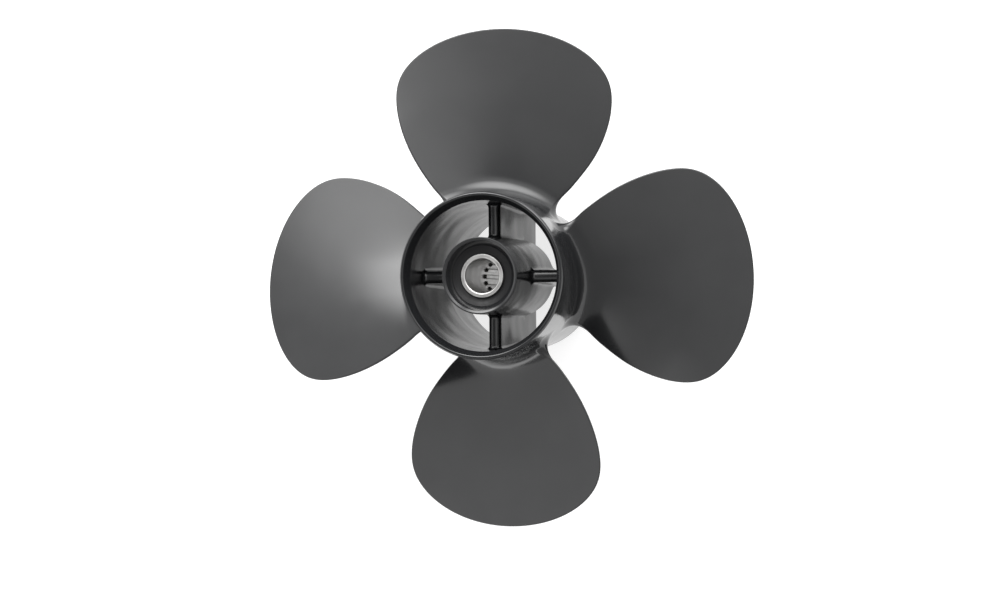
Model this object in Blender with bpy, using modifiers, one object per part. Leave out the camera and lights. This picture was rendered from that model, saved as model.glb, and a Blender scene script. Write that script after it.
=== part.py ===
"""Four-blade boat propeller with exhaust through its hub, as separate solids.

Metres, +Z up. The shaft's axis is Z. The propeller stands on the forward end of its barrel, with its
exhaust end up, and the origin is the centre of that forward face. Seen from the exhaust end it turns
clockwise to drive ahead, so each blade's leading edge is its clockwise edge and lies lower.
"""
import math

import bmesh
import bpy
import numpy as np

CLEARANCE = 0.0003

BARREL_LENGTH = 0.1386
BARREL_AFT_RADIUS = 0.0550
BARREL_FRONT_RADIUS = 0.0512
BORE_AFT_RADIUS = 0.0496
BORE_WAIST_RADIUS = 0.0474
BORE_FRONT_RADIUS = 0.0486
WAIST_HEIGHT = 0.0480
FOOT_CHAMFER = 0.0004
LIP_RADIUS = 0.0530
LIP_DEPTH = 0.0070
RIM_CHAMFER_WIDTH = 0.0014
RIM_CHAMFER_DEPTH = 0.0016
BARREL_SIDES = 96

HUB_FRONT_RADIUS = 0.0273
HUB_AFT_RADIUS = 0.0252
HUB_BORE_RADIUS = 0.0200
HUB_MOUTH_RADIUS = 0.0233
HUB_MOUTH_DEPTH = 0.0060
HUB_LIFT = 0.0360
HUB_TOP = BARREL_LENGTH + 0.0020
HUB_SIDES = 64

RUBBER_START = 0.0430
RUBBER_OUTER_END = BARREL_LENGTH - 0.0044
RUBBER_INNER_END = BARREL_LENGTH - 0.0072

SLEEVE_RADIUS = 0.01435
SLEEVE_BORE_RADIUS = 0.0112
SLEEVE_START = 0.0375
SLEEVE_END = BARREL_LENGTH - 0.0050
SLEEVE_CHAMFER = 0.0010
SLEEVE_CORE_RADIUS = 0.0058
SMOOTH_BORE_DEPTH = 0.0500
SPLINE_END = SLEEVE_END - SMOOTH_BORE_DEPTH
SPLINE_COUNT = 15
SPLINE_ROOT_RADIUS = 0.0111
SPLINE_TIP_RADIUS = 0.0098
SPLINE_TIP_SHARE = 0.42
SPLINE_FLANK_SHARE = 0.12
SPLINE_ROOT_SHARE = 0.34
SLEEVE_SIDES = 60

BLADE_COUNT = 4
RIB_START = 0.0010
RIB_END = 0.1021
RIB_FREE_RADIUS = 0.0225
RIB_AFT_THICKNESS = 0.0081
RIB_FRONT_THICKNESS = 0.0128
RIB_EDGE_ROUND = 0.0024

TIP_RADIUS = 0.1712
PITCH = 0.2356
ROOT_HEIGHT = 0.0773
TIP_HEIGHT = 0.0747
ROOT_THICKNESS = 0.0095
TIP_THICKNESS = 0.0026
EDGE_THICKNESS = 0.0016
SEAT_TAPER = (BARREL_AFT_RADIUS - BARREL_FRONT_RADIUS) / BARREL_LENGTH
ROOT_RADIUS = BARREL_FRONT_RADIUS + SEAT_TAPER * ROOT_HEIGHT + CLEARANCE
ROOT_OVERRUN = 0.0020
SEAT_SIDES = 192
ROOT_FILLET = 0.0120
TIP_ROUNDNESS = 20
CHORD_POINTS = 15
EDGE_POINTS = 3

# Where sections stand: shares of the fillet, and how many follow it, closer together towards the tip.
FILLET_SHARES = (0.0, 0.06, 0.18, 0.38, 0.66, 1.0)
BODY_SECTIONS = 14
BODY_EASE = 0.9
LAST_SECTION_SHARE = 0.9995

# Half widths of the blade along the arc at fractions of the tip radius, before the tip is rounded off.
STATIONS = (0.32, 0.40, 0.50, 0.60, 0.70, 0.80, 0.90, 1.00)
TRAILING_WIDTHS = (0.0294, 0.0413, 0.0528, 0.0622, 0.0692, 0.0735, 0.0748, 0.0716)
LEADING_WIDTHS = (0.0288, 0.0416, 0.0543, 0.0650, 0.0726, 0.0770, 0.0775, 0.0716)

PAINT = (0.010, 0.010, 0.011, 1.0)
RUBBER = (0.012, 0.012, 0.013, 1.0)
STEEL = (0.46, 0.45, 0.43, 1.0)


def clear_scene():
    """Remove the objects that the file opened with."""
    for thing in list(bpy.data.objects):
        bpy.data.objects.remove(thing, do_unlink=True)


def make_collection(name):
    """A collection in the scene."""
    collection = bpy.data.collections.new(name)
    bpy.context.scene.collection.children.link(collection)
    return collection


def make_material(name, colour, roughness, metallic):
    """A Principled material with one colour."""
    material = bpy.data.materials.new(name)
    material.use_nodes = True
    shader = material.node_tree.nodes["Principled BSDF"]
    shader.inputs["Base Color"].default_value = colour
    shader.inputs["Roughness"].default_value = roughness
    shader.inputs["Metallic"].default_value = metallic
    return material


def make_object(name, mesh, collection, material=None):
    """An object that shows a mesh, in a collection, with its material."""
    thing = bpy.data.objects.new(name, mesh)
    collection.objects.link(thing)
    if material is not None:
        mesh.materials.append(material)
    return thing


def turned(name, profile, sides, collection, material):
    """A closed (radius, height) profile, turned once round Z by a Screw modifier.

    The profile runs down its outer side and up its inner side.
    """
    mesh = bpy.data.meshes.new(name)
    points = [(radius, 0.0, height) for radius, height in profile]
    edges = [(i, (i + 1) % len(points)) for i in range(len(points))]
    mesh.from_pydata(points, edges, [])
    thing = make_object(name, mesh, collection, material)
    screw = thing.modifiers.new("turn", "SCREW")
    screw.steps = sides
    screw.render_steps = sides
    screw.use_merge_vertices = True
    screw.merge_threshold = 0.00001
    return thing


def make_barrel(collection, material):
    """The outer tube: tapered outside, narrowest inside at its waist, with a conical aft lip."""
    foot = FOOT_CHAMFER
    profile = [
        (LIP_RADIUS, BARREL_LENGTH),
        (BARREL_AFT_RADIUS - RIM_CHAMFER_WIDTH, BARREL_LENGTH),
        (BARREL_AFT_RADIUS, BARREL_LENGTH - RIM_CHAMFER_DEPTH),
        (BARREL_FRONT_RADIUS, foot),
        (BARREL_FRONT_RADIUS - foot, 0.0),
        (BORE_FRONT_RADIUS + foot, 0.0),
        (BORE_FRONT_RADIUS, foot),
        (BORE_WAIST_RADIUS, WAIST_HEIGHT),
        (BORE_AFT_RADIUS, BARREL_LENGTH - LIP_DEPTH),
    ]
    return turned("outer_barrel", profile, BARREL_SIDES, collection, material)


def bore_radius(height):
    """The barrel's bore, which narrows evenly from both ends to its waist."""
    heights = (FOOT_CHAMFER, WAIST_HEIGHT, BARREL_LENGTH - LIP_DEPTH)
    radii = (BORE_FRONT_RADIUS, BORE_WAIST_RADIUS, BORE_AFT_RADIUS)
    return float(np.interp(height, heights, radii))


def hub_radius(height):
    """The inner hub's outer radius, which narrows evenly towards the aft end."""
    share = (height - HUB_LIFT) / (HUB_TOP - HUB_LIFT)
    return HUB_FRONT_RADIUS + share * (HUB_AFT_RADIUS - HUB_FRONT_RADIUS)


def make_hub(collection, material):
    """The inner tube, with a rounded aft lip and a mouth that opens outwards."""
    lip = (HUB_AFT_RADIUS - HUB_MOUTH_RADIUS) / 3
    profile = [
        (HUB_AFT_RADIUS - lip, HUB_TOP),
        (HUB_AFT_RADIUS, HUB_TOP - lip),
        (HUB_FRONT_RADIUS, HUB_LIFT),
        (HUB_BORE_RADIUS, HUB_LIFT),
        (HUB_BORE_RADIUS, HUB_TOP - HUB_MOUTH_DEPTH),
        (HUB_MOUTH_RADIUS, HUB_TOP - lip),
        (HUB_MOUTH_RADIUS + lip, HUB_TOP),
    ]
    return turned("inner_hub", profile, HUB_SIDES, collection, material)


def make_bushing(collection, material):
    """The rubber ring between the inner hub and the sleeve, dished at its aft end."""
    outer = HUB_BORE_RADIUS - CLEARANCE
    inner = SLEEVE_RADIUS + CLEARANCE
    profile = [
        (outer, RUBBER_OUTER_END),
        (outer, RUBBER_START),
        (inner, RUBBER_START),
        (inner, RUBBER_INNER_END),
    ]
    return turned("rubber_bushing", profile, HUB_SIDES, collection, material)


def spline_cutter(collection):
    """A star-shaped rod: the space between the sleeve's teeth, past its forward end."""
    step = math.tau / SPLINE_COUNT
    tip = SPLINE_TIP_RADIUS
    root = SPLINE_ROOT_RADIUS
    flank_end = SPLINE_TIP_SHARE + SPLINE_FLANK_SHARE
    corners = ((0.0, tip), (SPLINE_TIP_SHARE, tip), (flank_end, root), (flank_end + SPLINE_ROOT_SHARE, root))
    outline = bmesh.new()
    ring = []
    for tooth in range(SPLINE_COUNT):
        for share, radius in corners:
            angle = (tooth + share) * step
            ring.append(outline.verts.new((radius * math.cos(angle), radius * math.sin(angle), 0.0)))
    face = outline.faces.new(ring)
    grown = bmesh.ops.extrude_face_region(outline, geom=[face])
    lifted = [item for item in grown["geom"] if isinstance(item, bmesh.types.BMVert)]
    bmesh.ops.translate(outline, verts=lifted, vec=(0.0, 0.0, SPLINE_END + CLEARANCE))
    bmesh.ops.recalc_face_normals(outline, faces=outline.faces)
    mesh = bpy.data.meshes.new("spline_cutter")
    outline.to_mesh(mesh)
    outline.free()
    return make_cutter("spline_cutter", mesh, collection)


def make_cutter(name, mesh, collection):
    """A hidden solid that a Boolean modifier takes away."""
    cutter = make_object(name, mesh, collection)
    cutter.hide_render = True
    cutter.display_type = "WIRE"
    return cutter


def make_sleeve(collection, cutters, material):
    """The metal tube: a smooth aft bore, and splines in its forward half."""
    inner = SLEEVE_BORE_RADIUS
    chamfer = SLEEVE_CHAMFER
    profile = [
        (SLEEVE_RADIUS - chamfer / 2, SLEEVE_END),
        (SLEEVE_RADIUS, SLEEVE_END - chamfer / 2),
        (SLEEVE_RADIUS, SLEEVE_START),
        (SLEEVE_CORE_RADIUS, SLEEVE_START),
        (SLEEVE_CORE_RADIUS, SPLINE_END),
        (inner, SPLINE_END),
        (inner, SLEEVE_END - chamfer),
        (inner + chamfer, SLEEVE_END),
    ]
    sleeve = turned("splined_sleeve", profile, SLEEVE_SIDES, collection, material)
    cut = sleeve.modifiers.new("splines", "BOOLEAN")
    cut.operation = "DIFFERENCE"
    cut.solver = "EXACT"
    cut.object = spline_cutter(cutters)
    return sleeve


def make_rib(name, angle, collection, material):
    """A flat web between the inner hub and the barrel, thicker forward, with its aft edge rounded.

    It is an outline of (radius, height) points, pulled to both sides by half its thickness at each
    height. Ahead of the inner hub, which is shorter than the barrel, its inner edge stands free.
    """
    waist_reach = bore_radius(WAIST_HEIGHT)
    hub_face = HUB_LIFT - CLEARANCE
    outline = [
        (hub_radius(RIB_END) + CLEARANCE, RIB_END),
        (bore_radius(RIB_END), RIB_END),
        (waist_reach, WAIST_HEIGHT),
        (bore_radius(RIB_START), RIB_START),
        (RIB_FREE_RADIUS, RIB_START),
        (RIB_FREE_RADIUS, hub_face),
        (hub_radius(HUB_LIFT) + CLEARANCE, hub_face),
    ]
    slab = bmesh.new()
    sides = []
    for sign in (1, -1):
        ring = []
        for radius, height in outline:
            share = (height - RIB_START) / (RIB_END - RIB_START)
            half = (RIB_FRONT_THICKNESS + share * (RIB_AFT_THICKNESS - RIB_FRONT_THICKNESS)) / 2
            reach = radius
            if radius >= waist_reach:
                reach = math.sqrt(radius ** 2 - half ** 2) - CLEARANCE
            ring.append(slab.verts.new((reach, sign * half, height)))
        sides.append(ring)
        slab.faces.new(ring)
    right, left = sides
    aft_edges = []
    for i in range(len(outline)):
        j = (i + 1) % len(outline)
        slab.faces.new((right[i], right[j], left[j], left[i]))
    for ring in sides:
        aft_edges.append(slab.edges.get((ring[0], ring[1])))
    bmesh.ops.bevel(slab, geom=aft_edges, offset=RIB_EDGE_ROUND, segments=4, profile=0.5, affect="EDGES")
    bmesh.ops.recalc_face_normals(slab, faces=slab.faces)
    mesh = bpy.data.meshes.new(name)
    slab.to_mesh(mesh)
    slab.free()
    rib = make_object(name, mesh, collection, material)
    rib.rotation_euler = (0.0, 0.0, angle)
    return rib


def smooth_through(places, values, wanted):
    """Values at the wanted places on a smooth curve through the given points."""
    places = np.array(places)
    values = np.array(values)
    slopes = np.gradient(values, places)
    left = np.clip(np.searchsorted(places, wanted) - 1, 0, len(places) - 2)
    span = places[left + 1] - places[left]
    t = (wanted - places[left]) / span
    start = (1 + 2 * t) * (1 - t) ** 2 * values[left] + t * (1 - t) ** 2 * span * slopes[left]
    end = t * t * (3 - 2 * t) * values[left + 1] + t * t * (t - 1) * span * slopes[left + 1]
    return start + end


def half_widths(radius):
    """The blade's arc widths on its trailing and leading sides, rounded off towards the tip."""
    share = radius / TIP_RADIUS
    rounding = np.sqrt(np.clip(1 - share ** TIP_ROUNDNESS, 0, 1))
    trailing = smooth_through(STATIONS, TRAILING_WIDTHS, share) * rounding
    leading = smooth_through(STATIONS, LEADING_WIDTHS, share) * rounding
    return trailing, leading


def blade_radii():
    """Section radii, from inside the barrel's wall: closest in the root fillet and at the tip."""
    fillet = ROOT_RADIUS + ROOT_FILLET * np.array(FILLET_SHARES)
    ease = np.sin(np.linspace(0, math.pi / 2, BODY_SECTIONS + 1)[1:]) ** BODY_EASE
    body = fillet[-1] + (TIP_RADIUS * LAST_SECTION_SHARE - fillet[-1]) * ease
    return np.concatenate([[ROOT_RADIUS - ROOT_OVERRUN], fillet, body])


def blade_section(radius):
    """One closed section on the cylinder of this radius.

    It runs along the aft face from the leading to the trailing edge, which is a helix, and back along
    the forward face, which bulges by the blade's thickness. In the root fillet it swells on all sides.
    """
    trailing, leading = half_widths(np.array([radius]))
    chord = np.sin(np.linspace(-math.pi / 2, math.pi / 2, CHORD_POINTS))
    depth = max(radius - ROOT_RADIUS, 0.0)
    share = depth / (TIP_RADIUS - ROOT_RADIUS)
    rise_left = max(ROOT_FILLET - depth - EDGE_THICKNESS / 2, 0.0)
    swell = ROOT_FILLET - math.sqrt(ROOT_FILLET ** 2 - rise_left ** 2)
    most = ROOT_THICKNESS + share * (TIP_THICKNESS - ROOT_THICKNESS)
    height = ROOT_HEIGHT + share * (TIP_HEIGHT - ROOT_HEIGHT)
    advance = PITCH / math.tau / radius
    stretch = math.hypot(1.0, advance)

    edge = EDGE_THICKNESS / 2
    along = chord * (np.where(chord > 0, trailing[0], leading[0]) * stretch - edge)
    bulge = 2 * edge + (most - 2 * edge) * (1 - chord ** 2)
    face = np.column_stack([along, np.full_like(along, swell)])
    back = np.column_stack([along, -bulge - swell])[::-1]
    turn = np.linspace(math.pi / 4, -math.pi / 4, EDGE_POINTS)
    nose = (edge + swell) * np.column_stack([np.cos(turn), np.sin(turn)])
    trailing_edge = nose + (along[-1], -edge)
    leading_edge = -nose + (along[0], -edge)
    outline = np.concatenate([face, trailing_edge, back, leading_edge])

    arc = (outline[:, 0] - outline[:, 1] * advance) / stretch
    rise = (outline[:, 0] * advance + outline[:, 1]) / stretch
    angle = arc / radius
    return np.column_stack([radius * np.cos(angle), radius * np.sin(angle), height + rise])


def seat_cutter(collection):
    """A tapered rod a little wider than the barrel, which trims the blades' roots to their seat."""
    rod = bmesh.new()
    bmesh.ops.create_cone(
        rod,
        cap_ends=True,
        segments=SEAT_SIDES,
        radius1=BARREL_FRONT_RADIUS - SEAT_TAPER * BARREL_LENGTH + CLEARANCE,
        radius2=BARREL_FRONT_RADIUS + SEAT_TAPER * BARREL_LENGTH + CLEARANCE,
        depth=2 * BARREL_LENGTH,
    )
    mesh = bpy.data.meshes.new("seat_cutter")
    rod.to_mesh(mesh)
    rod.free()
    return make_cutter("seat_cutter", mesh, collection)


def blade_mesh():
    """The sections of one blade joined into a closed loft."""
    sections = [blade_section(radius) for radius in blade_radii()]
    count = len(sections[0])
    faces = []
    for row in range(len(sections) - 1):
        low = row * count
        for i in range(count):
            j = (i + 1) % count
            faces.append((low + i, low + j, low + count + j, low + count + i))
    last_back = count - EDGE_POINTS - 1
    for base in (0, (len(sections) - 1) * count):
        for i in range(CHORD_POINTS - 1):
            faces.append((base + i, base + i + 1, base + last_back - i - 1, base + last_back - i))
    mesh = bpy.data.meshes.new("blade")
    mesh.from_pydata(np.concatenate(sections).tolist(), [], faces)
    loft = bmesh.new()
    loft.from_mesh(mesh)
    bmesh.ops.holes_fill(loft, edges=loft.edges)
    bmesh.ops.recalc_face_normals(loft, faces=loft.faces)
    loft.to_mesh(mesh)
    loft.free()
    return mesh


def main():
    clear_scene()
    parts = make_collection("boat_propeller")
    cutters = make_collection("cutters")
    paint = make_material("casting_paint", PAINT, 0.38, 0.0)
    rubber = make_material("bushing_rubber", RUBBER, 0.75, 0.0)
    steel = make_material("sleeve_metal", STEEL, 0.32, 1.0)

    make_barrel(parts, paint)
    make_hub(parts, paint)
    make_bushing(parts, rubber)
    make_sleeve(parts, cutters, steel)
    seat = seat_cutter(cutters)
    blade = blade_mesh()
    blade.materials.append(paint)
    for number in range(BLADE_COUNT):
        angle = number * math.tau / BLADE_COUNT
        make_rib(f"rib_{number + 1}", angle, parts, paint)
        copy = make_object(f"blade_{number + 1}", blade, parts)
        copy.rotation_euler = (0.0, 0.0, angle)
        trim = copy.modifiers.new("seat", "BOOLEAN")
        trim.operation = "DIFFERENCE"
        trim.solver = "EXACT"
        trim.object = seat


main()
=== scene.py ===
# %% [markdown]
# # A boat propeller
#
# This lesson dresses a packed construction model of a four-blade boat propeller. The model arrives as
# plain faceted solids with small gaps between them, because the real barrel, hub, webs and blades are
# one aluminium casting. Here each gets a finely rounded skin that flows into its neighbour.
#
# The solids could be smoothed with modifiers instead, but their gaps and facets would still show in the
# gloss of the paint. So every skin is worked out anew, from the same sizes.
#
# The first lines load the model as a fixed frame. Everything after it is in metres, with Z along the
# propeller shaft and the floor at zero.

# %% Load the frame
import math

import bmesh
import bpy
import numpy as np
from mathutils import Matrix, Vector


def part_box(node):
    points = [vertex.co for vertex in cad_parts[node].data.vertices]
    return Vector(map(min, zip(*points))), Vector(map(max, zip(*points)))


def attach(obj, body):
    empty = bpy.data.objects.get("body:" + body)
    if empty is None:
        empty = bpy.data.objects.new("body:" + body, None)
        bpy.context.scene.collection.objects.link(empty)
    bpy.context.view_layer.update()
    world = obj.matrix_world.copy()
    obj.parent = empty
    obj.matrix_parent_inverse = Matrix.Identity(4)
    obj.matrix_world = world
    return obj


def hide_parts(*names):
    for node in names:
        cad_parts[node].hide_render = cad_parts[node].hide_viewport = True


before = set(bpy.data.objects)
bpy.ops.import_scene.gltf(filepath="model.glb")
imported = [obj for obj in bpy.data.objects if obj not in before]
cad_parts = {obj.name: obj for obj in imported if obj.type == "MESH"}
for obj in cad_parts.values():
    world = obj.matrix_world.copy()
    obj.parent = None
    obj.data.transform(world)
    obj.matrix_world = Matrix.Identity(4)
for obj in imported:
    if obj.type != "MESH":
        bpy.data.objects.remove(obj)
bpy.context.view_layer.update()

print("nodes:", ", ".join(sorted(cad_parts)))

# %% [markdown]
# ## Sizes that everything shares
#
# A skin has to sit exactly where its solid is. The sizes could all be typed in, but then a change in the
# solids would leave the skins behind. So the main ones are read from the frame's boxes, and only tapers,
# roundings and wall thicknesses, which a box can't tell, are written as numbers.

# %% Read the main sizes from the frame
MM = 0.001
GAP = 0.3 * MM
_, barrel_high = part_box("outer_barrel")
hub_low, hub_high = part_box("inner_hub")
bushing_low, bushing_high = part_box("rubber_bushing")
sleeve_low, sleeve_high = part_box("splined_sleeve")
web_low, web_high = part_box("rib_1")
_, blade_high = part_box("blade_1")

BARREL_RADIUS = barrel_high.x
BARREL_FRONT_RADIUS = 0.0512
BARREL_END = barrel_high.z
HUB_FRONT = hub_low.z
HUB_END = hub_high.z
HUB_RADIUS_FRONT = hub_high.x
HUB_RADIUS_AFT = 0.0252
HUB_BORE = bushing_high.x + GAP
TIP_RADIUS = blade_high.x
print("barrel radius and length:", round(BARREL_RADIUS, 4), round(BARREL_END, 4))
print("tip radius:", round(TIP_RADIUS, 4))

# %% [markdown]
# ## The camera
#
# The picture was taken from the exhaust end, from a little over a metre away and about fourteen degrees
# to the side of the shaft. A camera could be aimed with a Track To constraint, but a constraint can't be
# told to roll by part of a degree. So its turn is worked out as three directions: where it looks, what is
# right, and what is up. Blender wants right, up and backwards as the columns of its matrix.

# %% Place the camera
CAMERA_PLACE = (0.287804, -0.022139, 1.240703)
CAMERA_AIM = (-0.002020, -0.015615, 0.077000)
CAMERA_ROLL = math.radians(-0.4128)
CAMERA_LENS = 62.926


def camera_matrix(place, aim, roll):
    """Look from the place at the aim, with +Y up in the picture, and then roll about the look direction.

    Right is look cross +Y, and up is right cross look. The roll mixes the two by its cosine and sine.
    """
    look = np.array(aim) - np.array(place)
    look /= np.linalg.norm(look)
    right = np.cross(look, (0.0, 1.0, 0.0))
    right /= np.linalg.norm(right)
    up = np.cross(right, look)
    rolled_right = math.cos(roll) * right + math.sin(roll) * up
    rolled_up = math.cos(roll) * up - math.sin(roll) * right
    matrix = Matrix.Identity(4)
    for row in range(3):
        matrix[row][:] = (rolled_right[row], rolled_up[row], -look[row], place[row])
    return matrix


camera_data = bpy.data.cameras.new("photo_camera")
camera_data.lens = CAMERA_LENS
camera_data.sensor_width = 36.0
camera = bpy.data.objects.new("photo_camera", camera_data)
bpy.context.scene.collection.objects.link(camera)
camera.matrix_world = camera_matrix(CAMERA_PLACE, CAMERA_AIM, CAMERA_ROLL)
bpy.context.scene.camera = camera
print("camera distance from the rim:", round(math.dist(CAMERA_PLACE, (0.0, 0.0, BARREL_END)), 3), "m")

# %% [markdown]
# ## From a grid of points to a mesh
#
# Every skin here is a grid: rows of points that go round or along the piece. Two neighbouring rows and
# two neighbouring columns enclose one quad. A grid may close on itself, like the ring round a tube. The
# same shapes could be pushed and pulled by hand, but a grid keeps every point on a known formula, which
# is what makes reflections run smoothly.
#
# Points that fall together, such as at a blade's tip, are merged, open ends are filled, and the faces are
# then turned outwards.

# %% Grid helpers
MERGE = 0.002 * MM


def grid_quads(rows, columns, close_rows=False, close_columns=False):
    """Corner numbers of each quad between neighbours, with a wrap to the first row or column if closed.

    The point in row i and column j has the number i * columns + j.
    """
    i = np.arange(rows if close_rows else rows - 1)[:, None]
    j = np.arange(columns if close_columns else columns - 1)[None, :]
    i_next = (i + 1) % rows
    j_next = (j + 1) % columns
    corners = (i * columns + j, i * columns + j_next, i_next * columns + j_next, i_next * columns + j)
    return np.stack([np.broadcast_to(c, (i.size, j.size)) for c in corners], axis=-1).reshape(-1, 4)


def skin(name, grid, material, close_rows=False, close_columns=False):
    """One smooth object from a grid of points (rows, columns, xyz), merged, closed and facing out."""
    rows, columns, _ = grid.shape
    mesh = bpy.data.meshes.new(name)
    quads = grid_quads(rows, columns, close_rows, close_columns)
    mesh.from_pydata(grid.reshape(-1, 3).tolist(), [], quads.tolist())
    shape = bmesh.new()
    shape.from_mesh(mesh)
    bmesh.ops.remove_doubles(shape, verts=shape.verts, dist=MERGE)
    bmesh.ops.holes_fill(shape, edges=shape.edges)
    bmesh.ops.recalc_face_normals(shape, faces=shape.faces)
    shape.to_mesh(mesh)
    shape.free()
    mesh.shade_smooth()
    mesh.materials.append(material)
    thing = bpy.data.objects.new(name, mesh)
    bpy.context.scene.collection.objects.link(thing)
    print(f"{name}: {len(mesh.polygons)} faces")
    return thing


def finish_piece(thing, slot, *nodes):
    """The piece rides on the part and stands for its solids, which are hidden; the slot is not used."""
    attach(thing, "root")
    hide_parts(*nodes)


print("a grid of 3 by 4 points has", len(grid_quads(3, 4)), "quads, and closed both ways",
      len(grid_quads(3, 4, True, True)))

# %% [markdown]
# ## Building blocks for materials
#
# A material is a small network of nodes. Written out by hand, each node takes four or five lines, so the
# ones that come back again and again get a helper with a name that says what they do. Pictures of a
# surface would be the other way, but noise has no seams, no resolution and no place where it repeats.
#
# All noise here is laid out in the object's own metres. So the scale of a pattern is simply how many of
# its clouds fit into a metre.

# %% Material helpers
NOISE_MIDDLE = (0.3, 0.7)


def new_material(name):
    """A node material with only its Principled shader and the object's own coordinates."""
    material = bpy.data.materials.new(name)
    material.use_nodes = True
    nodes = material.node_tree.nodes
    place = nodes.new("ShaderNodeTexCoord")
    return material, nodes, material.node_tree.links, nodes["Principled BSDF"], place.outputs["Object"]


def noise(nodes, links, place, scale, detail=2.0, roughness=0.5):
    """Cloudy grey noise, scale clouds to the metre."""
    cloud = nodes.new("ShaderNodeTexNoise")
    cloud.inputs["Scale"].default_value = scale
    cloud.inputs["Detail"].default_value = detail
    cloud.inputs["Roughness"].default_value = roughness
    links.new(place, cloud.inputs["Vector"])
    return cloud.outputs["Fac"]


def ranged(nodes, links, value, ends, low, high, smooth=False):
    """A value that goes from low to high while the input goes from one end to the other, and no further."""
    node = nodes.new("ShaderNodeMapRange")
    node.interpolation_type = "SMOOTHSTEP" if smooth else "LINEAR"
    node.inputs["From Min"].default_value = ends[0]
    node.inputs["From Max"].default_value = ends[1]
    node.inputs["To Min"].default_value = low
    node.inputs["To Max"].default_value = high
    links.new(value, node.inputs["Value"])
    return node.outputs["Result"]


print("noise between", *NOISE_MIDDLE, "is stretched over the whole of each range")

# %% [markdown]
# ## Bumps and places
#
# The dimples in paint and the rings of a tool are far smaller than the mesh's faces, and would need
# millions of them as real geometry. A bump only tilts the light as such a surface would, which is enough
# where the relief is too shallow to change an outline.
#
# Some patterns follow the shaft: tool marks run in rings round it, and one finish ends at a distance from
# it. So one helper turns a place into that distance and its height.

# %% Bumps, sums and the distance from the shaft
def calculated(nodes, links, operation, *values):
    """A sum or product of sockets and plain numbers."""
    node = nodes.new("ShaderNodeMath")
    node.operation = operation
    for socket, value in zip(node.inputs, values):
        if isinstance(value, float):
            socket.default_value = value
        else:
            links.new(value, socket)
    return node.outputs["Value"]


def bump(nodes, links, height, depth, below=None, strength=None):
    """A bump of that depth in metres, over the one below it, everywhere or where its strength is one."""
    node = nodes.new("ShaderNodeBump")
    node.inputs["Strength"].default_value = 1.0
    node.inputs["Distance"].default_value = depth
    links.new(height, node.inputs["Height"])
    if below is not None:
        links.new(below, node.inputs["Normal"])
    if strength is not None:
        links.new(strength, node.inputs["Strength"])
    return node.outputs["Normal"]


def radius_and_height(nodes, links, place):
    """The distance from the shaft, which is the length of (x, y, 0), and the height z."""
    parts = nodes.new("ShaderNodeSeparateXYZ")
    links.new(place, parts.inputs["Vector"])
    flat = nodes.new("ShaderNodeCombineXYZ")
    links.new(parts.outputs["X"], flat.inputs["X"])
    links.new(parts.outputs["Y"], flat.inputs["Y"])
    radius = nodes.new("ShaderNodeVectorMath")
    radius.operation = "LENGTH"
    links.new(flat.outputs["Vector"], radius.inputs[0])
    return radius.outputs["Value"], parts.outputs["Z"]


print("a bump of 1 mm is written as", 1 * MM)

# %% [markdown]
# ## The paint
#
# The casting is sprayed dark grey, nearly black, and the paint is glossy enough to mirror the bright
# table on surfaces seen at a low angle. Three things keep it from looking like plastic: slow waves
# left by the polished casting, the fine dimples of sprayed paint, and a gloss that isn't quite even.
#
# The exhaust passages were never polished. There the waves are deep and the paint is duller, so the
# walls show soft smears in place of clear reflections. They could have a material of their own, but the
# barrel and the hub cross from one finish to the other. So one paint serves all, and a mask made of the
# distance from the shaft and of the height says where the passages are.

# %% Paint for the casting
PAINT_COLOUR = (0.0075, 0.0078, 0.0085, 1.0)
PAINT_COLOUR_PALE = (0.0115, 0.0118, 0.0125, 1.0)
PAINT_ROUGHNESS = (0.13, 0.18)
PAINT_CLOUDS = 24.0
GLOSS_CLOUDS = 60.0
WAVES = 28.0
WAVE_DEPTH = 0.12 * MM
DIMPLES = 1100.0
DIMPLE_DEPTH = 0.004 * MM
CAST_WAVES = 30.0
CAST_DEPTH = 1.4 * MM
INSIDE_DULLNESS = 0.07
BORE_AFT_RADIUS = 0.0496
INSIDE_RADIUS = (BORE_AFT_RADIUS, BORE_AFT_RADIUS + 1.2 * MM)
INSIDE_HEIGHT = (BARREL_END - 9 * MM, BARREL_END - 6 * MM)


def inside_barrel(nodes, links, place):
    """One in the exhaust passages, zero outside them: a fade in radius times a fade in height."""
    radius, height = radius_and_height(nodes, links, place)
    near_shaft = ranged(nodes, links, radius, INSIDE_RADIUS, 1.0, 0.0, smooth=True)
    below_lip = ranged(nodes, links, height, INSIDE_HEIGHT, 1.0, 0.0, smooth=True)
    return calculated(nodes, links, "MULTIPLY", near_shaft, below_lip)


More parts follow.
